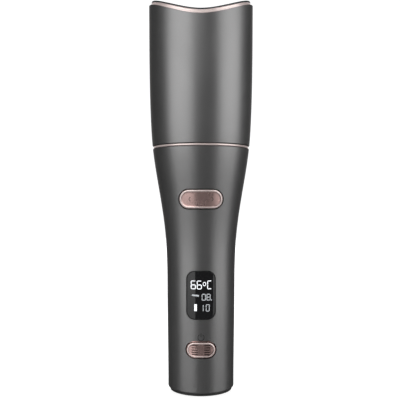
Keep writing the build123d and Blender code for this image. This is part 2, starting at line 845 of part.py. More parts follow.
with BuildPart() as rotor_gear:
    with BuildSketch(Plane.XY.offset(gear_bottom)):
        add(gear_face(rotor_teeth, 90 + 180 / rotor_teeth))
    extrude(amount=gear_width)
    add(tube(sleeve_radius + 1.3, 0, gear_top, floor_bottom - free_gap))
    add(tube(sleeve_radius, 0, gear_bottom, floor_bottom), mode=Mode.SUBTRACT)
save(rotor_gear.part, "rotor_gear")

with BuildPart() as motor_pinion:
    # its teeth stop short of the clip below and the collar above
    with BuildSketch(Plane.XY.offset(gear_bottom + free_gap)):
        with Locations((0, motor_offset)):
            add(gear_face(pinion_teeth, 270))
    extrude(amount=gear_width - 2 * free_gap)
    add(tube(shaft_radius, 0, gearbox_bore_bottom + free_gap, gear_top + 1, [(0, motor_offset)]))
save(motor_pinion.part, "motor_pinion")

with BuildPart() as gear_clip:
    # open ring in a groove of the hub's sleeve
    clip_top = gear_bottom - seat_fit
    clip_bottom = clip_top - clip_thickness
    add(tube(sleeve_radius + 1.2, sleeve_radius - groove_depth + seat_fit, clip_bottom, clip_top))
    with BuildSketch(Plane.XY.offset(clip_bottom)):
        with Locations((sleeve_radius, 0)):
            Rectangle(4, 3)
    extrude(amount=clip_thickness, mode=Mode.SUBTRACT)
save(gear_clip.part, "gear_clip")

# ---------------------------------------------------------------- rotor
bush_flange_height = 0.7
hub_flange_bottom = floor_top + bush_flange_height + 0.1
barrel_bottom = hub_flange_bottom + 2.0
barrel_top = barrel_bottom + barrel_length
barrel_bore = barrel_radius - barrel_wall

with BuildPart() as floor_bush:
    add(tube(sleeve_radius + bush_wall, 0, floor_bottom, floor_top))
    add(tube(bush_flange, 0, floor_top, floor_top + bush_flange_height))
    add(tube(sleeve_radius + running_fit, 0, floor_bottom, hub_flange_bottom), mode=Mode.SUBTRACT)
save(floor_bush.part, "floor_bush")

with BuildPart() as rotor_hub:
    add(tube(sleeve_radius, 0, gear_bottom - 1.4, hub_flange_bottom))
    add(tube(barrel_radius + 0.6, 0, hub_flange_bottom, barrel_bottom))
    add(tube(barrel_bore, 0, barrel_bottom, barrel_bottom + 3))
    add(tube(sleeve_bore, 0, gear_bottom - 1.4, barrel_bottom + 3), mode=Mode.SUBTRACT)
    # groove for the clip
    groove_bottom = gear_bottom - clip_thickness - 2 * seat_fit
    add(
        tube(sleeve_radius, sleeve_radius - groove_depth, groove_bottom, gear_bottom),
        mode=Mode.SUBTRACT,
    )
save(rotor_hub.part, "rotor_hub")

with BuildPart() as curling_barrel:
    add(tube(barrel_radius, barrel_bore, barrel_bottom, barrel_top))
    chamfer(curling_barrel.edges().group_by(Axis.Z)[-1], length=0.3)
save(curling_barrel.part, "curling_barrel")

crown_top = barrel_top + crown_thickness
bush_bottom = barrel_top - 2.5
bush_top = crown_top - 1.6
pin_radius = 2.0
crown_bush_wall = 1.4

with BuildPart() as prong:
    # one of the prongs that catch the strand of hair
    with BuildSketch(front_plane(-prong_width / 2)):
        with BuildLine():
            Polyline(
                (crown_radius - 5, barrel_top + 0.6),
                (crown_radius + 0.4, barrel_top + 0.6),
                (prong_reach - 0.6, crown_top + 0.8),
                (prong_reach, crown_top + prong_height - 1.0),
                (prong_reach - 1.2, crown_top + prong_height),
                (prong_reach - 2.6, crown_top + prong_height - 1.2),
                (crown_radius - 1.2, crown_top + 1.0),
                (crown_radius - 5, crown_top - 0.6),
                close=True,
            )
        make_face()
    extrude(amount=-prong_width)
    fillet(prong.edges().filter_by(Axis.Y), radius=0.5)

with BuildPart() as winding_crown:
    add(tube(crown_radius, 0, barrel_top, crown_top))
    fillet(winding_crown.edges().filter_by(GeomType.CIRCLE).group_by(Axis.Z)[-1], radius=1.4)
    for index in range(prong_count):
        add(prong.part.rotate(Axis.Z, 45 + 360 * index / prong_count))
    add(tube(barrel_bore, 0, barrel_top - 3, barrel_top))
    add(tube(pin_radius + crown_bush_wall, 0, barrel_top - 3, bush_top), mode=Mode.SUBTRACT)
save(winding_crown.part, "winding_crown")

save(
    tube(pin_radius + crown_bush_wall, pin_radius + running_fit, bush_bottom, bush_top),
    "crown_bush",
)

# ---------------------------------------------------------------- heater
post_shoulder = barrel_bottom + 4.5
washer_top = post_shoulder + 1.0
core_top = barrel_top - 8.0
element_bottom = washer_top + 2.0

with BuildPart() as heater_post:
    add(tube(6.0, 0, head_bottom, head_bottom + 1.2))
    add(tube(post_radius, 0, head_bottom, post_shoulder))
    add(tube(core_bore_radius - seat_fit, 0, post_shoulder, core_top + 1))
    add(tube(pin_radius, 0, core_top, bush_top - 0.4))
    add(tube(post_bore, 0, head_bottom, core_top - 4), mode=Mode.SUBTRACT)
    # side window where the heater's wires come out
    add(front_block(0, element_bottom - 1.6, 1.6, 2.4, 0, -post_radius), mode=Mode.SUBTRACT)
save(heater_post.part, "heater_post")

with BuildPart() as insulating_washer:
    add(tube(core_radius - 0.8, core_bore_radius, post_shoulder, washer_top))
save(insulating_washer.part, "insulating_washer")

element_places = [(0, element_offset), (0, -element_offset)]
sensor_span = (core_top - sensor_length, core_top)
sensor_place = [(core_radius - 2.6, 0)]

with BuildPart() as heater_core:
    add(tube(core_radius, core_bore_radius, washer_top, core_top))
    with BuildSketch(Plane.XY.offset(element_bottom)):
        with Locations(*element_places):
            Rectangle(element_width + 2 * seat_fit, element_thickness + 2 * seat_fit)
    extrude(amount=core_top - element_bottom, mode=Mode.SUBTRACT)
    add(tube(sensor_radius + seat_fit, 0, *sensor_span, sensor_place), mode=Mode.SUBTRACT)
save(heater_core.part, "heater_core")

with BuildPart() as heating_elements:
    with BuildSketch(Plane.XY.offset(element_bottom)):
        with Locations(*element_places):
            Rectangle(element_width, element_thickness)
    extrude(amount=element_length)
save(heating_elements.part, "heating_elements")

with BuildPart() as temperature_sensor:
    add(tube(sensor_radius, 0, *sensor_span, sensor_place))
    fillet(temperature_sensor.edges().filter_by(GeomType.CIRCLE), radius=0.5)
save(temperature_sensor.part, "temperature_sensor")

# ---------------------------------------------------------------- head
with BuildPart() as joint_ring:
    ring_bottom = handle_length + (joint_height - ring_height) / 2
    add(tube(joint_radius - ring_inset, plate_radius, ring_bottom, ring_bottom + ring_height))
    outer_edges = joint_ring.edges().filter_by(GeomType.CIRCLE).sort_by(SortBy.RADIUS)[-2:]
    chamfer(outer_edges, length=0.2)
save(joint_ring.part, "joint_ring")

shell_drop = lip_height + trim_height
rim_height = 2.5
with BuildPart() as head_shell:
    add(body_solid(0, head_bottom, overall_height))
    add(body_solid(head_wall, head_bottom + 2, overall_height), mode=Mode.SUBTRACT)
    add(tube(plate_radius - 1.6, 0, head_bottom, head_bottom + 2), mode=Mode.SUBTRACT)
    # inner rim that centres the liner
    add(mouth_band(mouth_radius - head_wall / 2, liner_radius + seat_fit, shell_drop, rim_height))
    add(under_mouth(shell_drop), mode=Mode.INTERSECT)
save(head_shell.part, "head_shell")

with BuildPart() as chamber_liner:
    add(tube(liner_radius, chamber_radius, floor_bottom, overall_height + 1))
    add(under_mouth(0), mode=Mode.INTERSECT)
    add(tube(liner_radius, 0, floor_bottom, floor_top))
    add(mouth_band(mouth_radius - lip_inset, liner_radius - 0.5, 0, lip_height))
    add(tube(sleeve_radius + bush_wall, 0, floor_bottom, floor_top), mode=Mode.SUBTRACT)
    add(tube(hole, 0, floor_bottom, floor_top, liner_post_places), mode=Mode.SUBTRACT)
    counterbore_radius = screw_head_radius + screw_head_gap
    liner_screw_seat = floor_top - screw_head_height - screw_head_gap
    add(
        tube(counterbore_radius, 0, liner_screw_seat, floor_top, liner_post_places),
        mode=Mode.SUBTRACT,
    )
save(chamber_liner.part, "chamber_liner")

save(screws(liner_post_places, liner_screw_seat, 7), "liner_screws")

with BuildPart() as mouth_trim:
    trim_radius = mouth_radius - trim_inset
    trim_bore = liner_radius + seat_fit
    add(mouth_band(trim_radius, trim_bore, lip_height + trim_height / 2, trim_height / 2))
    add(mouth_band(trim_radius - trim_step, trim_bore, lip_height, trim_height / 2))
save(mouth_trim.part, "mouth_trim")

# ---------------------------------------------------------------- leads inside the handle
lead_radius = 0.6
lead_board_z = board_top - 2.0
lead_end_y = board_rear + 0.5
ribbon_width = 10.0
ribbon_thickness = 0.4

with BuildPart() as battery_leads:
    for x in (-6, 6):
        top = cell_top + link_thickness + cradle_plate
        add(lead([(x, 0, top), (x, 0, top + 6), (x, lead_end_y, top + 9)], lead_radius))
save(battery_leads.part, "battery_leads")

with BuildPart() as motor_leads:
    for x in (-4, 4):
        route = [
            (x, motor_offset, motor_bottom),
            (x, motor_offset, motor_bottom - 7),
            (x, motor_offset - 11, lead_board_z + 1),
            (x, lead_end_y, lead_board_z),
        ]
        add(lead(route, lead_radius))
save(motor_leads.part, "motor_leads")

with BuildPart() as heater_leads:
    for x in (-0.75, 0.75):
        route = [
            (x, 0, post_shoulder),
            (x, 0, lead_board_z + 12),
            (x, lead_end_y, lead_board_z),
        ]
        add(lead(route, lead_radius))
save(heater_leads.part, "heater_leads")

with BuildPart() as board_ribbon:
    # flat ribbon from the main board up to the rocker's board
    ribbon_top = rocker_height - rocker_board_tall / 2
    ribbon_middle = (board_top + ribbon_top) / 2
    low_y = board_rear - board_thickness / 2
    high_y = rocker_board_rear - board_thickness / 2
    bow = [(low_y, board_top), (low_y + 2, ribbon_middle), (high_y, ribbon_top)]
    with BuildSketch(Plane.YZ.offset(-ribbon_width / 2)):
        with BuildLine():
            rear = Spline(bow)
            front = Spline([(y - ribbon_thickness, z) for y, z in bow])
            Line(rear @ 0, front @ 0)
            Line(rear @ 1, front @ 1)
        make_face()
    extrude(amount=ribbon_width)
save(board_ribbon.part, "board_ribbon")
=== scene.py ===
import bpy
import json
import math
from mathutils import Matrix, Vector


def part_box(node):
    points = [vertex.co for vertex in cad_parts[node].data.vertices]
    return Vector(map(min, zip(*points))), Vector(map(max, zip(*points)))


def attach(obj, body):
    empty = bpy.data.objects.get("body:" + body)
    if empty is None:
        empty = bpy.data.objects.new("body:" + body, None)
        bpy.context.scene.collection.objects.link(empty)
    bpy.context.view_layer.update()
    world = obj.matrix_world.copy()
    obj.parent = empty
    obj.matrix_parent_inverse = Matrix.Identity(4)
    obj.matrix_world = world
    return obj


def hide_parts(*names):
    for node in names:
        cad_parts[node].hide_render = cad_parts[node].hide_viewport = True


# Cordless hair curler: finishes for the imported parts, added trims, covers, marks, digits and a studio.

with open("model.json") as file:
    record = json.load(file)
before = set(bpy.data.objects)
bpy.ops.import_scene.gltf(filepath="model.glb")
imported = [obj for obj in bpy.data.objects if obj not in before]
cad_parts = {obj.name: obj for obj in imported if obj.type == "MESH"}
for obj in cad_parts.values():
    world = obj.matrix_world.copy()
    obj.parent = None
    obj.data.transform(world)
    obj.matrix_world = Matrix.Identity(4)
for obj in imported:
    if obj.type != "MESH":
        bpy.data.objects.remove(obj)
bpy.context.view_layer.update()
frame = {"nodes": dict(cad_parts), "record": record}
nodes = frame["nodes"]
print("frame loaded with", len(nodes), "parts")

mm = 0.001
inFront = -0.05        # where flat pieces start, ahead of the casing, before they are laid on it
markThickness = 0.03   # of marks, digits and frames, in millimetres
pickMargin = 0.02      # of picks by place, in millimetres
mergeDistance = 0.01 * mm
fineMergeDistance = 0.001 * mm


# ---- small helpers

def deselectAll():
    if bpy.context.object and bpy.context.object.mode != "OBJECT":
        bpy.ops.object.mode_set(mode="OBJECT")
    bpy.ops.object.select_all(action="DESELECT")


def makeActive(piece):
    deselectAll()
    piece.select_set(True)
    bpy.context.view_layer.objects.active = piece


def applyModifiers(piece):
    makeActive(piece)
    for name in [modifier.name for modifier in piece.modifiers]:
        bpy.ops.object.modifier_apply(modifier=name)


def settle(piece):
    # the object goes to the origin and its place into the mesh
    makeActive(piece)
    bpy.ops.object.transform_apply(location=True, rotation=True, scale=True)


def joinPieces(pieces, name):
    deselectAll()
    for piece in pieces:
        piece.select_set(True)
    bpy.context.view_layer.objects.active = pieces[0]
    if len(pieces) > 1:
        bpy.ops.object.join()
    pieces[0].name = name
    return pieces[0]


def middleOf(node):
    low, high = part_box(node)
    return (low + high) / 2


def paint(piece, *names):
    piece.data.materials.clear()
    for name in names:
        piece.data.materials.append(materials[name])


def removePiece(piece):
    deselectAll()
    piece.select_set(True)
    bpy.ops.object.delete()


def facesOutward():
    # in edit mode: the whole mesh, its normals outward, then back in object mode
    bpy.ops.mesh.select_all(action="SELECT")
    bpy.ops.mesh.normals_make_consistent(inside=False)
    bpy.ops.object.mode_set(mode="OBJECT")


def startVertex(place):
    # new piece of a single vertex, selected in edit mode
    bpy.ops.mesh.primitive_plane_add(size=mm, location=(0, 0, 0))
    piece = bpy.context.object
    bpy.ops.object.mode_set(mode="EDIT")
    bpy.ops.mesh.select_mode(type="VERT")
    bpy.ops.mesh.select_all(action="SELECT")
    bpy.ops.mesh.merge(type="CENTER")
    bpy.ops.transform.translate(value=place)
    return piece


def extrudeBy(x, y, z):
    bpy.ops.mesh.extrude_region_move(TRANSFORM_OT_translate={"value": (x, y, z)})


def selectWhere(piece, test):
    # vertex selection by place, then back in edit mode
    bpy.ops.object.mode_set(mode="EDIT")
    bpy.ops.mesh.select_mode(type="VERT")
    bpy.ops.mesh.select_all(action="DESELECT")
    bpy.ops.object.mode_set(mode="OBJECT")
    for vertex in piece.data.vertices:
        vertex.select = test(vertex.co)
    bpy.ops.object.mode_set(mode="EDIT")


# ---- shared effects as node groups

def startGroup(name, inputs, outputs):
    group = bpy.data.node_groups.new(name, "ShaderNodeTree")
    for label, kind, value in inputs:
        socket = group.interface.new_socket(label, in_out="INPUT", socket_type=kind)
        if value is not None:
            socket.default_value = value
    for label, kind in outputs:
        group.interface.new_socket(label, in_out="OUTPUT", socket_type=kind)
    return group, group.nodes.new("NodeGroupInput"), group.nodes.new("NodeGroupOutput")


def mathNode(tree, operation, first, second=None):
    node = tree.nodes.new("ShaderNodeMath")
    node.operation = operation
    for index, value in enumerate((first, second)):
        if value is None:
            continue
        if isinstance(value, (int, float)):
            node.inputs[index].default_value = value
        else:
            tree.links.new(value, node.inputs[index])
    return node.outputs[0]


def buildGrainGroup():
    # fine moulded or sprayed grain: a speckle mask and a height
    group, entry, leave = startGroup(
        "fineGrain",
        [
            ("Vector", "NodeSocketVector", None),
            ("Size", "NodeSocketFloat", 0.3),
            ("Contrast", "NodeSocketFloat", 1.0),
        ],
        [("Mask", "NodeSocketFloat"), ("Height", "NodeSocketFloat")],
    )
    perMetre = mathNode(group, "DIVIDE", 1000.0, entry.outputs["Size"])
    noise = group.nodes.new("ShaderNodeTexNoise")
    noise.inputs["Detail"].default_value = 3.0
    cells = group.nodes.new("ShaderNodeTexVoronoi")
    for texture in (noise, cells):
        group.links.new(entry.outputs["Vector"], texture.inputs["Vector"])
        group.links.new(perMetre, texture.inputs["Scale"])
    centred = mathNode(group, "SUBTRACT", noise.outputs["Fac"], 0.5)
    stretched = mathNode(group, "MULTIPLY", centred, entry.outputs["Contrast"])
    mask = group.nodes.new("ShaderNodeClamp")
    group.links.new(mathNode(group, "ADD", stretched, 0.5), mask.inputs["Value"])
    group.links.new(mask.outputs[0], leave.inputs["Mask"])
    pits = mathNode(group, "MULTIPLY", cells.outputs["Distance"], 0.5)
    height = mathNode(group, "ADD", noise.outputs["Fac"], pits)
    group.links.new(height, leave.inputs["Height"])
    return group


def buildSmudgeGroup():
    # broad, faint unevenness from handling, at two scales
    group, entry, leave = startGroup(
        "handlingSmudge",
        [("Vector", "NodeSocketVector", None), ("Size", "NodeSocketFloat", 30.0)],
        [("Mask", "NodeSocketFloat")],
    )
    perMetre = mathNode(group, "DIVIDE", 1000.0, entry.outputs["Size"])
    broad = group.nodes.new("ShaderNodeTexNoise")
    broad.inputs["Detail"].default_value = 4.0
    broad.inputs["Roughness"].default_value = 0.6
    broad.inputs["Distortion"].default_value = 0.8
    group.links.new(entry.outputs["Vector"], broad.inputs["Vector"])
    group.links.new(perMetre, broad.inputs["Scale"])
    soft = group.nodes.new("ShaderNodeMapRange")
    soft.interpolation_type = "SMOOTHSTEP"
    soft.inputs["From Min"].default_value = 0.35
    soft.inputs["From Max"].default_value = 0.70
    group.links.new(broad.outputs["Fac"], soft.inputs["Value"])
    group.links.new(soft.outputs[0], leave.inputs["Mask"])
    return group


def buildTurnedGroup():
    # fine rings left by a lathe or by brushing round the long axis
    group, entry, leave = startGroup(
        "turnedRings",
        [("Vector", "NodeSocketVector", None), ("Pitch", "NodeSocketFloat", 0.4)],
        [("Mask", "NodeSocketFloat"), ("Height", "NodeSocketFloat")],
    )
    squash = group.nodes.new("ShaderNodeMapping")
    squash.inputs["Scale"].default_value = (0.02, 0.02, 1.0)
    group.links.new(entry.outputs["Vector"], squash.inputs["Vector"])
    noise = group.nodes.new("ShaderNodeTexNoise")
    noise.inputs["Detail"].default_value = 5.0
    noise.inputs["Roughness"].default_value = 0.7
    group.links.new(squash.outputs[0], noise.inputs["Vector"])
    group.links.new(mathNode(group, "DIVIDE", 1000.0, entry.outputs["Pitch"]), noise.inputs["Scale"])
    group.links.new(noise.outputs["Fac"], leave.inputs["Mask"])
    group.links.new(noise.outputs["Fac"], leave.inputs["Height"])
    return group


grainGroup = buildGrainGroup()
smudgeGroup = buildSmudgeGroup()
turnedGroup = buildTurnedGroup()
print("shared effects built")


# ---- finishes

def placeGroup(tree, group, coords, **values):
    node = tree.nodes.new("ShaderNodeGroup")
    node.node_tree = group
    tree.links.new(coords, node.inputs["Vector"])
    for label, value in values.items():
        node.inputs[label].default_value = value
    return node


def makeFinish(name, look):
    # one finish: colour and roughness drift between two values, over a grained or turned surface
    material = bpy.data.materials.new(name)
    material.use_nodes = True
    tree = material.node_tree
    shader = tree.nodes["Principled BSDF"]
    shader.inputs["Metallic"].default_value = look.get("metallic", 0.0)
    shader.inputs["Specular IOR Level"].default_value = look.get("specular", 0.5)
    shader.inputs["Specular Tint"].default_value = (*look.get("edgeTint", (1.0, 1.0, 1.0)), 1)
    shader.inputs["Coat Weight"].default_value = look.get("coat", 0.0)
    shader.inputs["Coat Roughness"].default_value = look.get("coatRoughness", 0.1)
    coords = tree.nodes.new("ShaderNodeTexCoord").outputs["Object"]
    if look.get("turned"):
        surface = placeGroup(tree, turnedGroup, coords, Pitch=look["grain"])
    else:
        contrast = look.get("contrast", 1.5)
        surface = placeGroup(tree, grainGroup, coords, Size=look["grain"], Contrast=contrast)
    smudge = placeGroup(tree, smudgeGroup, coords, Size=look.get("smudge", 30.0))

    colour = tree.nodes.new("ShaderNodeMix")
    colour.data_type = "RGBA"
    colour.inputs["A"].default_value = (*look["colour"], 1)
    colour.inputs["B"].default_value = (*look["fleck"], 1)
    tree.links.new(surface.outputs["Mask"], colour.inputs["Factor"])
    tree.links.new(colour.outputs["Result"], shader.inputs["Base Color"])

    rough = tree.nodes.new("ShaderNodeMapRange")
    rough.inputs["To Min"].default_value = look["rough"][0]
    rough.inputs["To Max"].default_value = look["rough"][1]
    tree.links.new(smudge.outputs["Mask"], rough.inputs["Value"])
    tree.links.new(rough.outputs[0], shader.inputs["Roughness"])

    bump = tree.nodes.new("ShaderNodeBump")
    bump.inputs["Strength"].default_value = look.get("bump", 0.1)
    bump.inputs["Distance"].default_value = look.get("depth", 0.02) * mm
    tree.links.new(surface.outputs["Height"], bump.inputs["Height"])
    tree.links.new(bump.outputs["Normal"], shader.inputs["Normal"])
    if look.get("glow"):
        shader.inputs["Emission Strength"].default_value = look["glow"]
        tree.links.new(colour.outputs["Result"], shader.inputs["Emission Color"])
    return material


# lengths in millimetres: grain, smudge and bump depth; fleck colours the grain's high spots
finishes = {
    "satinAnthracite": dict(
        colour=(0.203, 0.202, 0.202), fleck=(0.238, 0.237, 0.237), metallic=0.9, rough=(0.37, 0.41),
        edgeTint=(0.3, 0.3, 0.3), grain=0.22, contrast=2.0, bump=0.05, depth=0.006, smudge=45.0,
    ),
    "roseGoldSatin": dict(
        colour=(0.575, 0.392, 0.366), fleck=(0.625, 0.432, 0.405), metallic=0.9, rough=(0.24, 0.32),
        grain=0.15, bump=0.05, depth=0.01, smudge=12.0,
    ),
    # darker copy of the rose gold, painted shade: for the groove bottoms and the edge inside the button
    # openings
    "roseGoldShaded": dict(
        colour=(0.045, 0.029, 0.026), fleck=(0.06, 0.04, 0.036), metallic=0.7, rough=(0.4, 0.5),
        grain=0.15, bump=0.05, depth=0.01, smudge=12.0,
    ),
    # lighter copy of the rose gold, a painted highlight: for the raised rims of the button covers and
    # for the trims
    "roseGoldPaintedHighlight": dict(
        colour=(0.90, 0.75, 0.72), fleck=(0.94, 0.80, 0.77), metallic=0.5, rough=(0.28, 0.36),
        grain=0.4, turned=True, bump=0.04, depth=0.01, smudge=16.0,
    ),
    "linerBlack": dict(
        colour=(0.018, 0.018, 0.019), fleck=(0.035, 0.035, 0.036), rough=(0.45, 0.60),
        grain=0.5, bump=0.35, depth=0.05, smudge=14.0,
    ),
    "baseBlack": dict(
        colour=(0.020, 0.020, 0.020), fleck=(0.035, 0.035, 0.035), rough=(0.42, 0.55),
        grain=0.4, bump=0.30, depth=0.04, smudge=14.0,
    ),
    "padRubber": dict(
        colour=(0.022, 0.022, 0.022), fleck=(0.045, 0.045, 0.045), rough=(0.75, 0.9), specular=0.3,
        grain=0.8, bump=0.5, depth=0.08, smudge=10.0,
    ),
    "smokedWindow": dict(
        colour=(0.003, 0.003, 0.004), fleck=(0.005, 0.005, 0.006), rough=(0.03, 0.06), specular=0.7,
        grain=2.0, bump=0.01, depth=0.005, smudge=9.0,
    ),
    "displayBlack": dict(
        colour=(0.01, 0.01, 0.01), fleck=(0.02, 0.02, 0.02), rough=(0.2, 0.3), grain=1.0, bump=0.05,
    ),
    "crownBlack": dict(
        colour=(0.025, 0.025, 0.026), fleck=(0.05, 0.05, 0.051), rough=(0.30, 0.42),
        grain=0.35, bump=0.2, depth=0.03, smudge=8.0,
    ),
    "barrelCeramic": dict(
        colour=(0.055, 0.050, 0.048), fleck=(0.085, 0.078, 0.074), metallic=0.25, rough=(0.16, 0.24),
        grain=0.3, contrast=3.0, bump=0.06, depth=0.01, coat=0.6, coatRoughness=0.08, smudge=10.0,
    ),
    "boardGreen": dict(
        colour=(0.012, 0.095, 0.045), fleck=(0.020, 0.130, 0.060), rough=(0.30, 0.42),
        grain=1.2, bump=0.15,
    ),
    "componentBlack": dict(
        colour=(0.018, 0.018, 0.018), fleck=(0.035, 0.035, 0.035), rough=(0.5, 0.6), grain=0.4, bump=0.2,
    ),
    "plungerWhite": dict(
        colour=(0.70, 0.69, 0.66), fleck=(0.78, 0.77, 0.74), rough=(0.4, 0.5), grain=0.4, bump=0.1,
    ),
    "cellWrap": dict(
        colour=(0.03, 0.12, 0.36), fleck=(0.04, 0.15, 0.42), rough=(0.28, 0.38), grain=1.5, bump=0.05,
    ),
    "framePlastic": dict(
        colour=(0.045, 0.045, 0.047), fleck=(0.065, 0.065, 0.067), rough=(0.45, 0.6),
        grain=0.5, bump=0.2,
    ),
    "acetalGear": dict(
        colour=(0.74, 0.71, 0.63), fleck=(0.80, 0.78, 0.71), rough=(0.38, 0.48), grain=0.6, bump=0.1,
    ),
    "turnedBrass": dict(
        colour=(0.66, 0.47, 0.20), fleck=(0.74, 0.55, 0.26), metallic=1.0, rough=(0.22, 0.34),
        grain=0.25, turned=True, bump=0.2,
    ),
    "platedSteel": dict(
        colour=(0.55, 0.55, 0.56), fleck=(0.66, 0.66, 0.67), metallic=1.0, rough=(0.24, 0.36),
        grain=0.3, turned=True, bump=0.15,
    ),
    "coreAluminium": dict(
        colour=(0.70, 0.70, 0.71), fleck=(0.79, 0.79, 0.80), metallic=1.0, rough=(0.30, 0.42),
        grain=0.5, turned=True, bump=0.15,
    ),
    "elementCeramic": dict(
        colour=(0.76, 0.73, 0.66), fleck=(0.84, 0.82, 0.76), rough=(0.5, 0.6), grain=0.3, bump=0.15,
    ),
    "leadSilicone": dict(
        colour=(0.36, 0.02, 0.02), fleck=(0.44, 0.03, 0.03), rough=(0.45, 0.55), grain=0.6, bump=0.05,
    ),
    "litDigit": dict(
        colour=(0.86, 0.90, 0.94), fleck=(0.95, 0.97, 1.0), rough=(0.4, 0.5),
        grain=0.4, bump=0.0, glow=0.75,
    ),
    "dimDigit": dict(
        colour=(0.46, 0.49, 0.52), fleck=(0.54, 0.56, 0.58), rough=(0.4, 0.5),
        grain=0.4, bump=0.0, glow=0.42,
    ),
    "frameBlack": dict(
        colour=(0.006, 0.006, 0.006), fleck=(0.012, 0.012, 0.012), rough=(0.5, 0.6), specular=0.3,
        grain=0.3, bump=0.1, depth=0.02,
    ),
    "blackenedSteel": dict(
        colour=(0.018, 0.018, 0.019), fleck=(0.03, 0.03, 0.031), metallic=0.6, rough=(0.4, 0.5),
        grain=0.3, turned=True, bump=0.1,
    ),
    "etchedMark": dict(
        colour=(0.105, 0.075, 0.069), fleck=(0.125, 0.09, 0.083), rough=(0.35, 0.45),
        grain=0.2, bump=0.05,
    ),
    "printedMark": dict(
        colour=(0.018, 0.017, 0.017), fleck=(0.030, 0.028, 0.028), rough=(0.35, 0.45),
        grain=0.2, bump=0.05,
    ),
}
materials = {name: makeFinish(name, look) for name, look in finishes.items()}

finishOfSlot = {
    "body_paint": "satinAnthracite",
    "rose_gold": "roseGoldSatin",
    "liner_black": "linerBlack",
    "base_black": "baseBlack",
    "pad_rubber": "padRubber",
    "window_black": "smokedWindow",
    "display_black": "displayBlack",
    "crown_black": "crownBlack",
    "barrel_ceramic": "barrelCeramic",
    "board_green": "boardGreen",
    "component_black": "componentBlack",
    "plunger_white": "plungerWhite",
    "cell_wrap": "cellWrap",
    "frame_plastic": "framePlastic",
    "gear_plastic": "acetalGear",
    "brass": "turnedBrass",
    "steel": "platedSteel",
    "black_steel": "blackenedSteel",
    "core_aluminium": "coreAluminium",
    "element_ceramic": "elementCeramic",
    "lead_silicone": "leadSilicone",
}
for part in frame["record"]["subparts"]:
    paint(nodes[part["node"]], finishOfSlot[part["material_slot"]])
print("finishes assigned")


# ---- flat pieces that lie on a curved surface

tipNarrowing = 0.25  # of a pointed bar's ends
ringSteps = 40


def projectBack(piece, target):
    wrap = piece.modifiers.new("wrap", "SHRINKWRAP")
    wrap.target = target
    wrap.wrap_method = "PROJECT"
    wrap.use_project_y = True
    wrap.use_positive_direction = True
    applyModifiers(piece)


def wrapOnto(piece, target, finish):
    # the flat piece is laid on the target along Y, given its thickness and painted
    makeActive(piece)
    bpy.ops.object.mode_set(mode="EDIT")
    bpy.ops.mesh.select_all(action="SELECT")
    bpy.ops.mesh.remove_doubles(threshold=fineMergeDistance)
    bpy.ops.object.mode_set(mode="OBJECT")
    projectBack(piece, target)
    bpy.ops.object.mode_set(mode="EDIT")
    bpy.ops.mesh.select_all(action="SELECT")
    bpy.ops.mesh.normals_make_consistent(inside=False)
    extrudeBy(0, -markThickness * mm, 0)
    facesOutward()
    paint(piece, finish)


def addRectangle(width, tall):
    # flat rectangle facing the front, round the origin
    bpy.ops.mesh.primitive_plane_add(size=1, location=(0, 0, 0))
    piece = bpy.context.object
    piece.scale = (width * mm, tall * mm, 1)
    piece.rotation_euler = (math.radians(90), 0, 0)
    settle(piece)
    return piece


def addBar(x, z, length, width, lean=0.0, pointed=True, cuts=1):
    # flat bar facing the front, upright when lean is 0, its ends brought to points
    bar = addRectangle(width, length)
    bpy.ops.object.mode_set(mode="EDIT")
    bpy.ops.mesh.select_all(action="SELECT")
    if pointed:
        tip = width / 2 * mm
        reach = length / 2 * mm
        bpy.ops.mesh.bisect(plane_co=(0, 0, reach - tip), plane_no=(0, 0, 1))
        bpy.ops.mesh.select_all(action="SELECT")
        bpy.ops.mesh.bisect(plane_co=(0, 0, tip - reach), plane_no=(0, 0, 1))
        for sign in (1, -1):
            selectWhere(bar, lambda place: place.z * sign > reach - tip / 2)
            bpy.ops.transform.resize(value=(tipNarrowing, 1, 1))
    if cuts:
        bpy.ops.mesh.select_all(action="SELECT")
        bpy.ops.mesh.subdivide(number_cuts=cuts)
    bpy.ops.mesh.select_all(action="SELECT")
    bpy.ops.transform.rotate(value=math.radians(lean), orient_axis="Y", center_override=(0, 0, 0))
    bpy.ops.transform.translate(value=(x * mm, inFront, z))
    bpy.ops.object.mode_set(mode="OBJECT")
    return bar


def addFlatRing(x, z, radius, stroke, stretch=1.0, openHalfAngle=0.0):
    # flat ring facing the front, with a gap at the top where an opening angle is given
    ring = startVertex((0, 0, (radius - stroke / 2) * mm))
    extrudeBy(0, 0, stroke * mm)
    bpy.ops.mesh.select_all(action="SELECT")
    gap = math.radians(openHalfAngle)
    bpy.ops.transform.rotate(value=gap, orient_axis="Y", center_override=(0, 0, 0))
    bpy.ops.mesh.select_all(action="SELECT")
    bpy.ops.mesh.spin(steps=ringSteps, angle=2 * (math.pi - gap), center=(0, 0, 0), axis=(0, 1, 0))
    bpy.ops.mesh.select_all(action="SELECT")
    bpy.ops.transform.resize(value=(1, 1, stretch), center_override=(0, 0, 0))
    bpy.ops.transform.translate(value=(x * mm, inFront, z))
    bpy.ops.object.mode_set(mode="OBJECT")
    return ring


# ---- bevelled metal covers on the two buttons

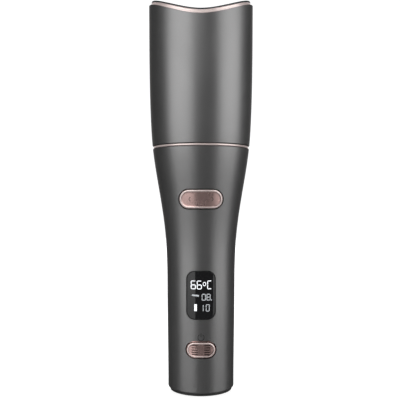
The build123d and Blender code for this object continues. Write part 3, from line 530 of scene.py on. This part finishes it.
buttonCovers = {
    # rows run inwards from the edge: distance in, depth behind the rim's crest
    "rocker": {
        "node": "rocker_button", "body": "rocker", "length": 25.8, "width": 11.1, "crest": 0.62,
        # up to this distance in from the outline, faces take the painted highlight
        "paintedHighlightRim": 1.0,
        "rim": [
            (0.0, 1.35), (0.05, 0.55), (0.22, 0.22), (0.48, 0.04),
            (0.80, 0.0), (1.08, 0.07), (1.30, 0.20),
        ],
        "field": [(1.62, 0.24), (2.4, 0.23), (3.2, 0.22), (4.0, 0.21), (4.8, 0.20)],
    },
    "power": {
        "node": "power_button", "body": "power_cap", "length": 17.1, "width": 9.0, "crest": 0.52,
        "paintedHighlightRim": 0.85,
        "rim": [
            (0.0, 1.3), (0.05, 0.50), (0.20, 0.20), (0.42, 0.04),
            (0.68, 0.0), (0.92, 0.06), (1.10, 0.16),
        ],
        "field": [(1.4, 0.19), (2.1, 0.18), (2.8, 0.17), (3.4, 0.17)],
        "grooves": {
            "count": 5, "pitch": 1.36, "length": 3.7, "width": 0.56, "offset": 3.75, "depth": 0.26,
            "barSides": 20, "belowMiddle": 6.3, "creaseAngle": 60,
        },
    },
    "arcPoints": 46,
    "straightCuts": 18,
    # faces closer than this to the outline take the painted shade
    "paintedShadeEdge": 0.08,
    "backThickness": 0.2,
    "coneSides": 720,
    "coneMargin": 1.3,
}


def casingRadius(height):
    # the casing's outer radius on its front line
    shell = nodes["handle_front_shell"]
    place = shell.ray_cast(Vector((0, 2 * inFront, height)), Vector((0, 1, 0)))[1]
    return -place.y


def coneAround(height, reach):
    # smooth stand-in for the casing near a height
    below, above = casingRadius(height - reach), casingRadius(height + reach)
    bpy.ops.mesh.primitive_cone_add(
        vertices=buttonCovers["coneSides"], radius1=below, radius2=above, depth=2 * reach,
        end_fill_type="NOTHING", location=(0, 0, height),
    )
    cone = bpy.context.object
    settle(cone)
    return cone


def buildCover(name, settings):
    middle = middleOf(settings["node"])
    radius = settings["width"] / 2
    run = settings["length"] / 2 - radius
    bpy.ops.mesh.primitive_circle_add(
        vertices=buttonCovers["arcPoints"], radius=radius * mm, fill_type="NGON",
        rotation=(math.radians(90), math.pi / buttonCovers["arcPoints"], 0),
    )
    cover = bpy.context.object
    cover.name = name
    settle(cover)
    for side in (-1, 1):
        selectWhere(cover, lambda place: place.x * side > 0)
        bpy.ops.transform.translate(value=(side * run * mm, 0, 0))
        bpy.ops.object.mode_set(mode="OBJECT")
    selectWhere(cover, lambda place: abs(place.z) > (radius - pickMargin) * mm)
    bpy.ops.mesh.subdivide(number_cuts=buttonCovers["straightCuts"])
    bpy.ops.mesh.select_mode(type="FACE")
    bpy.ops.mesh.select_all(action="SELECT")
    rows = settings["rim"] + settings["field"]
    for before, after in zip(rows, rows[1:]):
        bpy.ops.mesh.inset(thickness=(after[0] - before[0]) * mm, use_even_offset=True)
    # the last ring closes on the middle line
    bpy.ops.transform.resize(value=(1, 1, 0))
    bpy.ops.mesh.select_all(action="SELECT")
    bpy.ops.mesh.remove_doubles(threshold=mergeDistance)
    bpy.ops.mesh.dissolve_degenerate(threshold=mergeDistance / 2)
    bpy.ops.mesh.select_all(action="SELECT")
    bpy.ops.transform.translate(value=(0, inFront, middle.z))
    bpy.ops.object.mode_set(mode="OBJECT")
    cone = coneAround(middle.z, (radius + buttonCovers["coneMargin"]) * mm)
    projectBack(cover, cone)
    removePiece(cone)

    def inward(place):
        # distance in from the outline, in millimetres
        sideways = max(abs(place.x) / mm - run, 0.0)
        return radius - math.hypot(sideways, (place.z - middle.z) / mm)

    makeActive(cover)
    # each row's vertices go to its depth; the last row takes everything up to the middle line
    borders = [(before[0] + after[0]) / 2 for before, after in zip(rows, rows[1:])]
    for low, high, (distance, depth) in zip([-radius] + borders, borders + [2 * radius], rows):
        selectWhere(cover, lambda place: low <= inward(place) < high)
        bpy.ops.transform.translate(value=(0, (depth - settings["crest"]) * mm, 0))
        bpy.ops.object.mode_set(mode="OBJECT")
    bpy.ops.object.mode_set(mode="EDIT")
    facesOutward()
    bpy.ops.object.shade_smooth()
    paint(cover, "roseGoldSatin", "roseGoldPaintedHighlight", "roseGoldShaded")
    # the raised rim takes a painted highlight, the lighter rose-gold copy, and the edge inside the
    # opening takes painted shade, the darker copy
    for face in cover.data.polygons:
        if inward(face.center) < buttonCovers["paintedShadeEdge"]:
            face.material_index = 2
        elif inward(face.center) < settings["paintedHighlightRim"]:
            face.material_index = 1
    return cover


def closeBack(cover):
    # the cover's open rear is drawn in and filled, so that it is a solid plate
    makeActive(cover)
    bpy.ops.object.mode_set(mode="EDIT")
    bpy.ops.mesh.select_mode(type="EDGE")
    bpy.ops.mesh.select_all(action="DESELECT")
    bpy.ops.mesh.select_non_manifold()
    extrudeBy(0, buttonCovers["backThickness"] * mm, 0)
    bpy.ops.mesh.edge_face_add()
    facesOutward()


def cutGrooves(cover, settings):
    # two groups of finger grooves, cut by round bars that follow the cover's curve; their cut faces
    # carry painted shade
    groove = settings["grooves"]
    middle = middleOf(settings["node"])
    fieldDepth = settings["field"][0][1]
    reach = casingRadius(middle.z - groove["belowMiddle"] * mm) / mm + settings["crest"] - fieldDepth
    turn = math.asin(groove["offset"] / reach)
    sunk = reach + groove["width"] / 2 - groove["depth"]
    bars = []
    for row in range(groove["count"]):
        height = middle.z + (row - (groove["count"] - 1) / 2) * groove["pitch"] * mm
        for side in (-1, 1):
            bpy.ops.mesh.primitive_cylinder_add(
                vertices=groove["barSides"],
                radius=groove["width"] / 2 * mm, depth=groove["length"] * mm,
                rotation=(0, math.radians(90), side * turn),
                location=(side * math.sin(turn) * sunk * mm, -math.cos(turn) * sunk * mm, height),
            )
            bars.append(bpy.context.object)
    cutter = joinPieces(bars, "grooveCutter")
    settle(cutter)
    # the cutter's darker rose-gold copy passes to the cut faces as painted shade in the grooves
    paint(cutter, "roseGoldShaded")
    cut = cover.modifiers.new("grooves", "BOOLEAN")
    cut.operation = "DIFFERENCE"
    cut.solver = "EXACT"
    cut.material_mode = "TRANSFER"
    cut.object = cutter
    applyModifiers(cover)
    removePiece(cutter)
    makeActive(cover)
    bpy.ops.object.shade_smooth_by_angle(angle=math.radians(groove["creaseAngle"]))


def buildCovers():
    for name in ("rocker", "power"):
        settings = buttonCovers[name]
        cover = buildCover(name + "Cover", settings)
        closeBack(cover)
        if "grooves" in settings:
            cutGrooves(cover, settings)
        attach(cover, settings["body"])


buildCovers()
print("button covers built")


# ---- rounded metal trims at the mouth and the joint, in the lighter rose-gold copy as a painted highlight

mouthBand = {
    # radius and drop below the mouth line, from the inner foot to the inner top
    "profile": [
        (29.6, 3.42), (31.30, 3.42), (31.50, 3.34), (31.62, 3.18), (31.64, 2.95), (31.58, 2.62),
        (31.46, 2.34), (31.28, 2.16), (31.16, 2.08), (31.18, 1.90), (31.18, 1.66), (31.10, 1.34),
        (30.96, 1.06), (30.74, 0.88), (30.45, 0.79), (29.6, 0.77),
    ],
    # the mouth line: its top, and how it dips towards the middle
    "top": 242.0, "dip": 12.4, "reach": 32.5, "sharpness": 1.75,
}
jointBand = {
    # radius and height about the ring's middle
    "profile": [
        (28.8, -0.70), (29.30, -0.70), (29.52, -0.62), (29.66, -0.44), (29.74, -0.20), (29.76, 0.04),
        (29.70, 0.30), (29.56, 0.52), (29.34, 0.66), (29.1, 0.70), (28.8, 0.70),
    ],
}
bandSteps = 160
bandCrease = 50  # degrees


def spinProfile(name, profile, foot):
    # closed ring: a profile drawn by extruding one vertex, then spun about Z
    ring = startVertex((profile[0][0] * mm, 0, foot + profile[0][1] * mm))
    ring.name = name
    for before, after in zip(profile, profile[1:] + profile[:1]):
        extrudeBy((after[0] - before[0]) * mm, 0, (after[1] - before[1]) * mm)
    bpy.ops.mesh.select_all(action="SELECT")
    bpy.ops.mesh.remove_doubles(threshold=mergeDistance)
    bpy.ops.mesh.spin(steps=bandSteps, angle=2 * math.pi, center=(0, 0, 0), axis=(0, 0, 1))
    bpy.ops.mesh.select_all(action="SELECT")
    bpy.ops.mesh.remove_doubles(threshold=mergeDistance)
    facesOutward()
    bpy.ops.object.shade_smooth_by_angle(angle=math.radians(bandCrease))
    # the trims take the lighter rose-gold copy, a painted highlight
    paint(ring, "roseGoldPaintedHighlight")
    return ring


def distanceAcross(place):
    # rounded, so that a spoke's vertices on both sides and in both halves share one value
    return round(abs(place.x) / mm, 2)


def buildMouthBand():
    rows = [(radius, -drop) for radius, drop in mouthBand["profile"]]
    band = spinProfile("mouthBand", rows, mouthBand["top"] * mm)
    # each group of vertices at one distance across is lowered to the mouth line
    for across in sorted({distanceAcross(vertex.co) for vertex in band.data.vertices}):
        fall = mouthBand["dip"] * (1 - (across / mouthBand["reach"]) ** mouthBand["sharpness"])
        selectWhere(band, lambda place: distanceAcross(place) == across)
        bpy.ops.transform.translate(value=(0, 0, -fall * mm))
        bpy.ops.object.mode_set(mode="OBJECT")
    bpy.ops.object.mode_set(mode="EDIT")
    facesOutward()
    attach(band, "casing")
    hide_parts("mouth_trim")


def buildJointBand():
    ring = spinProfile("jointBand", jointBand["profile"], middleOf("joint_ring").z)
    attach(ring, "casing")
    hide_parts("joint_ring")


buildMouthBand()
buildJointBand()
print("trims built")


# ---- dark sealing strips in the seam between the handle's two shells

seamStrip = {
    "low": 3.0, "high": 149.0, "steps": 30, "outerSetback": 0.7, "innerSetback": 1.5, "thickness": 0.14,
}


def sideRadius(height):
    # the handle's outer radius beside the seam
    shell = nodes["handle_rear_shell"]
    place = shell.ray_cast(Vector((-2 * inFront, mm, height)), Vector((-1, 0, 0)))[1]
    return place.x


def buildSeamStrips():
    pitch = (seamStrip["high"] - seamStrip["low"]) / seamStrip["steps"] * mm
    heights = [seamStrip["low"] * mm + pitch * step for step in range(seamStrip["steps"] + 1)]
    thickness = seamStrip["thickness"] * mm
    strips = []
    for side in (-1, 1):
        start = side * (sideRadius(heights[0]) - seamStrip["innerSetback"] * mm)
        strips.append(startVertex((start, -thickness / 2, heights[0])))
        extrudeBy(side * (seamStrip["innerSetback"] - seamStrip["outerSetback"]) * mm, 0, 0)
        bpy.ops.mesh.select_all(action="SELECT")
        for before, after in zip(heights, heights[1:]):
            extrudeBy(side * (sideRadius(after) - sideRadius(before)), 0, after - before)
        bpy.ops.mesh.select_all(action="SELECT")
        extrudeBy(0, thickness, 0)
        facesOutward()
    seal = joinPieces(strips, "seamStrips")
    paint(seal, "baseBlack")
    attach(seal, "casing")


buildSeamStrips()
print("seam strips built")


# ---- dark frame round the display window

windowFrame = {
    "width": 17.5, "tall": 29.1, "corner": 4.9, "band": 0.55, "cornerSegments": 12, "cuts": 14,
}


def buildWindowFrame():
    middle = middleOf("display_window")
    band = addRectangle(windowFrame["width"], windowFrame["tall"])
    band.name = "windowFrame"
    bpy.ops.object.mode_set(mode="EDIT")
    bpy.ops.mesh.select_all(action="SELECT")
    bpy.ops.mesh.bevel(
        offset=windowFrame["corner"] * mm, segments=windowFrame["cornerSegments"], affect="VERTICES"
    )
    bpy.ops.object.mode_set(mode="OBJECT")
    selectWhere(band, lambda place: abs(place.z) > (windowFrame["tall"] / 2 - pickMargin) * mm)
    bpy.ops.mesh.subdivide(number_cuts=windowFrame["cuts"])
    bpy.ops.mesh.select_mode(type="FACE")
    bpy.ops.mesh.select_all(action="SELECT")
    bpy.ops.mesh.inset(thickness=windowFrame["band"] * mm, use_even_offset=True)
    bpy.ops.mesh.delete(type="FACE")
    bpy.ops.mesh.select_all(action="SELECT")
    bpy.ops.transform.translate(value=(0, inFront, middle.z))
    bpy.ops.object.mode_set(mode="OBJECT")
    wrapOnto(band, nodes["display_window"], "frameBlack")
    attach(band, "casing")


buildWindowFrame()
print("window frame built")


# ---- lit digits on the display window

segmentsOf = {  # a top, b and c right, d foot, e and f left, g middle
    "0": "abcdef", "1": "bc", "6": "acdefg", "8": "abcdefg", "C": "adef",
}
segmentShare = 0.94  # of the space between two corners that a segment fills
# glyphs: sign, centre across, centre above the window's middle, height, width
# blocks (dash, bar and decimal point): centre across, centre above the middle, length, width, lean
# degree: centre across, centre above the middle, radius, stroke, upright stretch
readout = {
    "bright": {
        "finish": "litDigit",
        "stroke": 0.50,
        "glyphs": [
            ("6", -4.60, 6.2, 5.2, 3.0),
            ("6", -1.00, 6.2, 5.2, 3.0),
            ("C", 5.10, 6.2, 5.2, 2.8),
        ],
        "blocks": [(-3.25, -7.35, 4.1, 1.55, 0)],
        "degree": (2.05, 6.75, 0.80, 0.36, 1.3),
    },
    "dim": {
        "finish": "dimDigit",
        "stroke": 0.46,
        "glyphs": [
            ("0", 1.65, -1.1, 4.0, 2.45),
            ("8", 4.50, -1.1, 4.0, 2.45),
            ("1", 0.45, -7.5, 4.3, 2.2),
            ("0", 4.00, -7.5, 4.3, 2.3),
        ],
        "blocks": [(-3.35, -0.1, 4.2, 0.95, 86), (6.20, -2.85, 0.62, 0.62, 0)],
    },
}


def segmentBars(sign, x, z, tall, wide, stroke):
    # one glyph of straight segments, like the cells of a lit display
    right, left = x + (wide - stroke) / 2, x - (wide - stroke) / 2
    span = (wide - stroke) * segmentShare
    rise = (tall - stroke) / 2 * segmentShare
    half = (tall - stroke) / 2 * mm
    places = {
        "a": (x, z + half, span, 90), "g": (x, z, span, 90), "d": (x, z - half, span, 90),
        "b": (right, z + half / 2, rise, 0), "c": (right, z - half / 2, rise, 0),
        "f": (left, z + half / 2, rise, 0), "e": (left, z - half / 2, rise, 0),
    }
    bars = []
    for key in segmentsOf[sign]:
        across, height, length, lean = places[key]
        bars.append(addBar(across, height, length, stroke, lean))
    return bars


def buildReadout():
    windowMiddle = middleOf("display_window")
    for name, group in readout.items():
        bars = []
        for sign, x, rise, tall, wide in group["glyphs"]:
            bars += segmentBars(sign, x, windowMiddle.z + rise * mm, tall, wide, group["stroke"])
        for x, rise, length, width, lean in group["blocks"]:
            height = windowMiddle.z + rise * mm
            bars.append(addBar(x, height, length, width, lean=lean, pointed=False, cuts=3))
        if "degree" in group:
            x, rise, radius, stroke, stretch = group["degree"]
            bars.append(addFlatRing(x, windowMiddle.z + rise * mm, radius, stroke, stretch))
        digits = joinPieces(bars, name + "Digits")
        wrapOnto(digits, nodes["display_window"], group["finish"])
        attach(digits, "casing")


buildReadout()
print("display digits built")


# ---- direction marks on the rocker

arrowMark = {"across": 6.8, "tall": 2.5, "deep": 1.0, "stroke": 0.38, "overlap": 1.05}


def buildArrows():
    middle = middleOf("rocker_button")
    halfTall = arrowMark["tall"] / 2
    slant = math.hypot(arrowMark["deep"], halfTall)
    lean = math.degrees(math.atan2(arrowMark["deep"], halfTall))
    bars = []
    for side in (-1, 1):
        for upper in (-1, 1):
            bars.append(addBar(
                side * arrowMark["across"], middle.z + upper * halfTall / 2 * mm,
                slant * arrowMark["overlap"], arrowMark["stroke"], lean=side * upper * lean, cuts=2,
            ))
    arrows = joinPieces(bars, "directionMarks")
    wrapOnto(arrows, bpy.data.objects["rockerCover"], "etchedMark")
    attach(arrows, "rocker")


buildArrows()
print("direction marks built")


# ---- power mark above the power button

powerMark = {
    "radius": 1.85, "stroke": 0.36, "gapHalfAngle": 32, "aboveSwitch": 7.5,
    # the bar's middle above the ring's centre and its length, both against the radius
    "barRise": 0.72, "barLength": 1.25,
}


def buildPowerMark():
    markHeight = middleOf("power_switch").z + powerMark["aboveSwitch"] * mm
    radius, stroke = powerMark["radius"], powerMark["stroke"]
    ring = addFlatRing(0, markHeight, radius, stroke, openHalfAngle=powerMark["gapHalfAngle"])
    barHeight = markHeight + radius * powerMark["barRise"] * mm
    bar = addBar(0, barHeight, radius * powerMark["barLength"], stroke, pointed=False, cuts=3)
    mark = joinPieces([ring, bar], "powerMark")
    wrapOnto(mark, nodes["handle_front_shell"], "printedMark")
    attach(mark, "casing")


buildPowerMark()
print("power mark built")


# ---- studio: glossy floor, white backdrop, two tall front panels, softer light above and behind

studio = {
    "cameraDistance": 0.408,
    "cameraHeight": 0.118,
    "cameraAside": -0.0006,
    "lens": 58.5,
    "floorSize": 6.0,
    "floorTone": 0.22,
    "floorRoughness": 0.18,
    "floorGlow": 0.92,
    "backdropDistance": 1.6,
    "backdropSize": (1.5, 1.5),
    "backdropTone": 0.30,
    "backdropRoughness": 0.9,
    "stageGrain": 4.0,
    "stageContrast": 0.6,
    "stageSpread": 1.1,
    "worldGlow": 0.03,
    "glossyShare": 0.045,
    "panels": [
        # name, turned from the front in degrees, distance, width, height, centre height, power
        ("leftPanel", -46, 0.9, 0.95, 1.3, 0.30, 8.4),
        ("rightPanel", 67, 0.9, 0.90, 1.3, 0.30, 7.6),
        ("raisedFill", -2, 1.1, 0.50, 0.5, 0.72, 0.75),
        ("topSoftbox", 180, 0.10, 0.90, 0.9, 1.25, 4.5),
        ("leftRearFill", -150, 1.2, 0.55, 1.0, 0.40, 0.6),
        ("rightRearFill", 150, 1.2, 0.55, 1.0, 0.40, 0.6),
    ],
}


def seenGlow(tree, seen, glossy):
    # strength for what the camera sees, through glass as well, and a share of it in reflections
    path = tree.nodes.new("ShaderNodeLightPath")
    straight = mathNode(tree, "MULTIPLY", path.outputs["Is Camera Ray"], seen)
    through = mathNode(tree, "MULTIPLY", path.outputs["Is Transmission Ray"], seen)
    mirrored = mathNode(tree, "MULTIPLY", path.outputs["Is Glossy Ray"], glossy)
    return mathNode(tree, "ADD", mathNode(tree, "ADD", straight, through), mirrored)


def makeStageMaterial(name, tone, seen, glossy, rough):
    # grained surface that also glows for the camera and, by a share, in reflections
    material = bpy.data.materials.new(name)
    material.use_nodes = True
    tree = material.node_tree
    shader = tree.nodes["Principled BSDF"]
    shader.inputs["Roughness"].default_value = rough
    shader.inputs["Specular IOR Level"].default_value = 1.0
    coords = tree.nodes.new("ShaderNodeTexCoord").outputs["Object"]
    grain = placeGroup(
        tree, grainGroup, coords, Size=studio["stageGrain"], Contrast=studio["stageContrast"]
    )
    colour = tree.nodes.new("ShaderNodeMix")
    colour.data_type = "RGBA"
    for label, level in (("A", tone), ("B", tone * studio["stageSpread"])):
        colour.inputs[label].default_value = (level, level, level, 1)
    tree.links.new(grain.outputs["Mask"], colour.inputs["Factor"])
    tree.links.new(colour.outputs["Result"], shader.inputs["Base Color"])
    shader.inputs["Emission Color"].default_value = (1, 1, 1, 1)
    tree.links.new(seenGlow(tree, seen, glossy), shader.inputs["Emission Strength"])
    return material


def buildStudio():
    bpy.ops.mesh.primitive_plane_add(size=studio["floorSize"], location=(0, 0, 0))
    floor = bpy.context.object
    floor.name = "studioFloor"
    floor.data.materials.append(makeStageMaterial(
        "paleFloor", studio["floorTone"], studio["floorGlow"], 0.0, studio["floorRoughness"]
    ))

    wide, tall = studio["backdropSize"]
    bpy.ops.mesh.primitive_plane_add(size=1, location=(0, studio["backdropDistance"], tall / 2))
    backdrop = bpy.context.object
    backdrop.name = "studioBackdrop"
    backdrop.scale = (wide, tall, 1)
    backdrop.rotation_euler = (math.radians(90), 0, 0)
    backdrop.data.materials.append(makeStageMaterial(
        "whiteBackdrop", studio["backdropTone"], 1.0, 1.0, studio["backdropRoughness"]
    ))

    world = bpy.data.worlds.new("studioWorld")
    bpy.context.scene.world = world
    world.use_nodes = True
    tree = world.node_tree
    tree.nodes["Background"].inputs["Color"].default_value = (1, 1, 1, 1)
    glow = seenGlow(tree, 1.0 - studio["worldGlow"], studio["glossyShare"])
    strength = mathNode(tree, "ADD", glow, studio["worldGlow"])
    tree.links.new(strength, tree.nodes["Background"].inputs["Strength"])

    aim = Vector((0, 0, studio["cameraHeight"]))
    for name, turned, distance, wide, tall, height, power in studio["panels"]:
        angle = math.radians(turned)
        place = Vector((math.sin(angle) * distance, -math.cos(angle) * distance, height))
        bpy.ops.object.light_add(type="AREA", location=place)
        panel = bpy.context.object
        panel.name = name
        panel.data.shape = "RECTANGLE"
        panel.data.size = wide
        panel.data.size_y = tall
        panel.data.energy = power
        panel.rotation_euler = (aim - place).to_track_quat("-Z", "Y").to_euler()


def buildCamera():
    place = (studio["cameraAside"], -studio["cameraDistance"], studio["cameraHeight"])
    bpy.ops.object.camera_add(location=place)
    camera = bpy.context.object
    camera.rotation_euler = (math.radians(90), 0, 0)
    camera.data.lens = studio["lens"]
    camera.data.clip_start = 0.01
    bpy.context.scene.camera = camera


buildStudio()
buildCamera()
bpy.context.scene.view_settings.view_transform = "Standard"
print("studio built")
